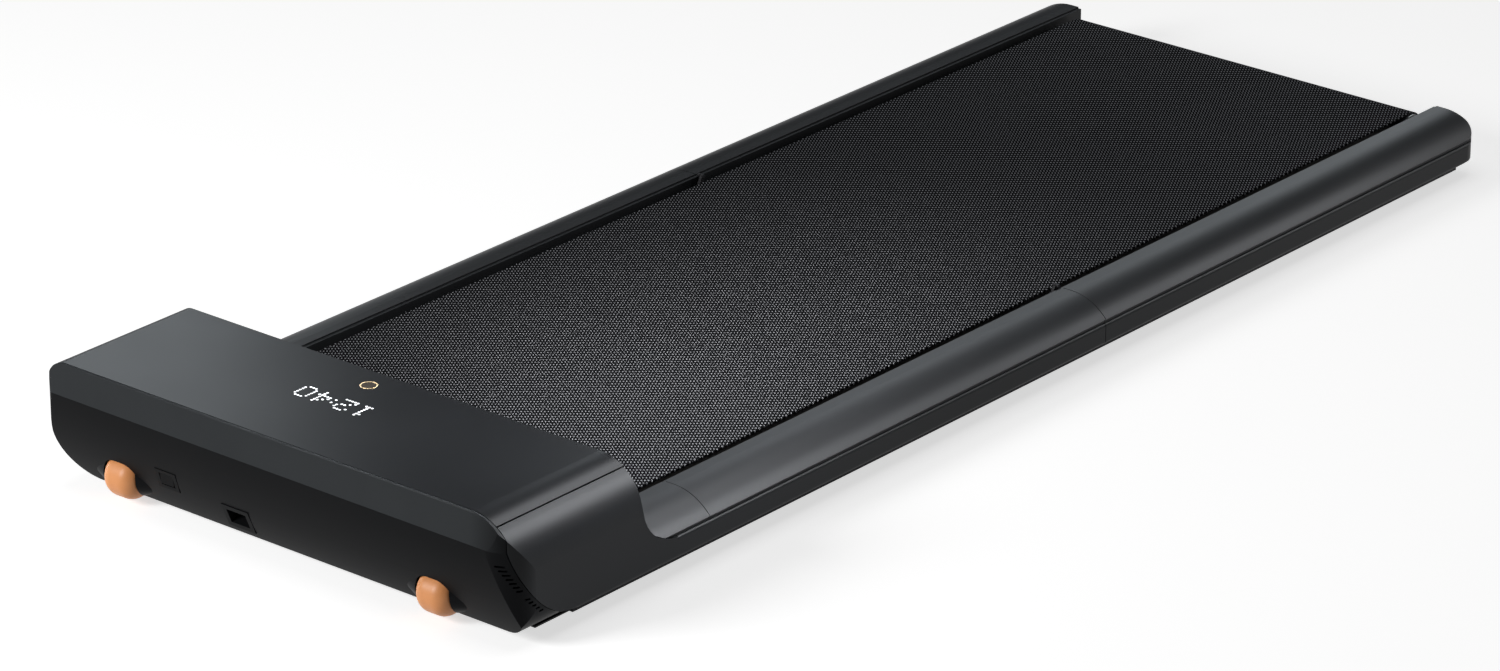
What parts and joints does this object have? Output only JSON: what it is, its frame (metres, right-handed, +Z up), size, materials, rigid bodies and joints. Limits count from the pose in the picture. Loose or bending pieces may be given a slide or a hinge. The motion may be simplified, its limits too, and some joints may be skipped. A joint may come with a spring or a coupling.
{
  "type": "walking pad",
  "caption": "Folding walking pad with a raised console head, a black walking belt between rounded rails, orange transport wheels and a rear half that folds over the front.",
  "frame": {"origin": "on the floor, under the middle of the unfolded pad", "axes": "+Z up, +Y from the console head to the tail, +X to the rail on the right of a viewer who stands at the head and looks along the belt"},
  "size_m": [0.547, 1.432, 0.1205],
  "materials": {
    "shell_grey": "satin dark grey",
    "belt_black": "fine dotted texture",
    "rubber_black": "matt",
    "wheel_orange": "satin orange",
    "frame_black": "powder coat",
    "board_wood": "dark phenolic board",
    "steel_bright": "turned",
    "rotor_iron": "laminated",
    "pulley_metal": "machined",
    "tray_plastic": "matt",
    "gloss_black": "gloss"
  },
  "bodies": {
    "front_half": {"base_tray": "tray_plastic", "front_fascia": "shell_grey", "head_top_cover": "shell_grey", "head_rear_wall": "shell_grey", "side_panel_left": "shell_grey", "side_panel_right": "shell_grey", "rail_nose_left": "shell_grey", "rail_nose_right": "shell_grey", "rail_front_left": "shell_grey", "rail_front_right": "shell_grey", "side_beam_front_left": "frame_black", "side_beam_front_right": "frame_black", "cross_members_front": "frame_black", "running_board_front": "board_wood", "deck_cushions_front": "rubber_black", "walking_belt_front": "belt_black", "bottom_cover_front": "frame_black", "cover_screws_front": "steel_bright", "feet_front": "rubber_black", "hinge_plates_front": "frame_black", "hinge_pins": "frame_black", "wheel_axles": "steel_bright", "motor_case": "frame_black", "motor_cradle": "tray_plastic", "drive_belt": "rubber_black", "control_board": "tray_plastic", "display_module": "gloss_black", "power_inlet": "tray_plastic", "switch_housing": "tray_plastic", "front_roller_axle": "steel_bright", "roller_brackets": "frame_black"},
    "rear_half": {"rail_rear_left": "shell_grey", "rail_rear_right": "shell_grey", "skirt_rear_left": "shell_grey", "skirt_rear_right": "shell_grey", "side_beam_rear_left": "frame_black", "side_beam_rear_right": "frame_black", "cross_members_rear": "frame_black", "running_board_rear": "board_wood", "deck_cushions_rear": "rubber_black", "walking_belt_rear": "belt_black", "bottom_cover_rear": "frame_black", "cover_screws_rear": "steel_bright", "feet_rear": "rubber_black", "hinge_plates_rear": "frame_black", "rear_roller_axle": "steel_bright", "tension_plates": "steel_bright", "tension_bolts": "steel_bright"},
    "front_roller": {"front_roller_tube": "steel_bright", "front_roller_bearings": "steel_bright", "roller_pulley": "pulley_metal"},
    "rear_roller": {"rear_roller_tube": "steel_bright", "rear_roller_bearings": "steel_bright"},
    "drive_rotor": {"motor_rotor": "rotor_iron", "motor_shaft": "steel_bright", "motor_pulley": "pulley_metal"},
    "left_wheel": {"wheel_left": "wheel_orange"},
    "right_wheel": {"wheel_right": "wheel_orange"},
    "switch_rocker": {"power_rocker": "tray_plastic"}
  },
  "joints": [
    {"name": "fold", "type": "hinge", "parent": "front_half", "child": "rear_half", "pos_m": [0, 0.10353, 0.0606], "axis": [1, 0, 0], "range_deg": [0, 180]},
    {"name": "front_roller_spin", "type": "hinge", "parent": "front_half", "child": "front_roller", "pos_m": [0, -0.575, 0.035], "axis": [1, 0, 0], "continuous": true},
    {"name": "rear_roller_spin", "type": "hinge", "parent": "rear_half", "child": "rear_roller", "pos_m": [0, 0.69, 0.035], "axis": [1, 0, 0], "continuous": true},
    {"name": "motor_spin", "type": "hinge", "parent": "front_half", "child": "drive_rotor", "pos_m": [0, -0.636, 0.06153], "axis": [1, 0, 0], "continuous": true},
    {"name": "left_wheel_spin", "type": "hinge", "parent": "front_half", "child": "left_wheel", "pos_m": [-0.196, -0.695, 0.0255], "axis": [1, 0, 0], "continuous": true},
    {"name": "right_wheel_spin", "type": "hinge", "parent": "front_half", "child": "right_wheel", "pos_m": [0.175, -0.695, 0.0255], "axis": [1, 0, 0], "continuous": true},
    {"name": "power_switch", "type": "hinge", "parent": "front_half", "child": "switch_rocker", "pos_m": [-0.135, -0.70579, 0.0439], "axis": [1, 0, 0], "range_deg": [0, 14]}
  ],
  "couplings": [
    {"joint": "rear_roller_spin", "follows": "front_roller_spin", "ratio": 1},
    {"joint": "motor_spin", "follows": "front_roller_spin", "ratio": 2}
  ]
}
